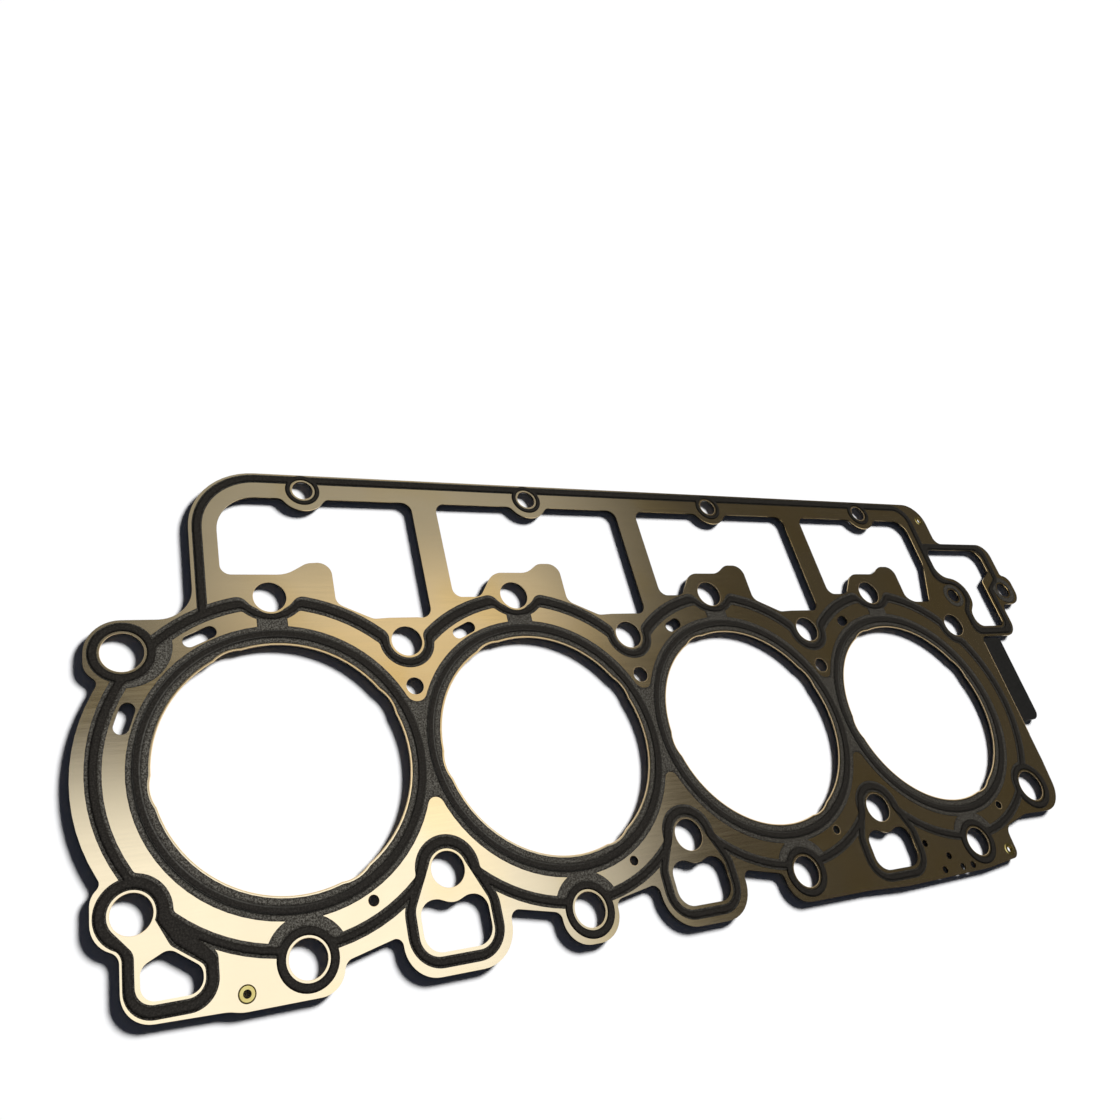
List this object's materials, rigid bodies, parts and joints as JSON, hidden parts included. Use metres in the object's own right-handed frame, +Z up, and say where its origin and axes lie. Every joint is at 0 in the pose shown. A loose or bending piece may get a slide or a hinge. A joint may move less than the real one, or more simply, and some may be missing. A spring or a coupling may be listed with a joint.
{
  "type": "cylinder head gasket",
  "caption": "Layered steel head gasket for a bank of four cylinders: a coated sheet with a tab below a bare one that carries a black printed seal, with a window rail and an end loop.",
  "frame": {"origin": "on the axis of the first bore, at the level of the lower face", "axes": "+X along the row of bores to the end loop, +Y to the window rail, +Z up through the sheets to the cylinder head"},
  "size_m": [0.5498, 0.2212, 0.0014],
  "materials": {
    "bare_steel": "bare rolled sheet with a warm straw tint, satin",
    "coated_steel": "thin black coating, satin",
    "elastomer_print": "matt and finely grained, smoother on the raised lines",
    "eyelet_brass": "bright, drawn"
  },
  "bodies": {
    "root": {"upper_sheet": "bare_steel", "lower_sheet": "coated_steel", "upper_seal_print": "elastomer_print", "eyelet_left": "eyelet_brass", "eyelet_right": "eyelet_brass", "eyelet_rear": "eyelet_brass"}
  },
  "joints": []
}
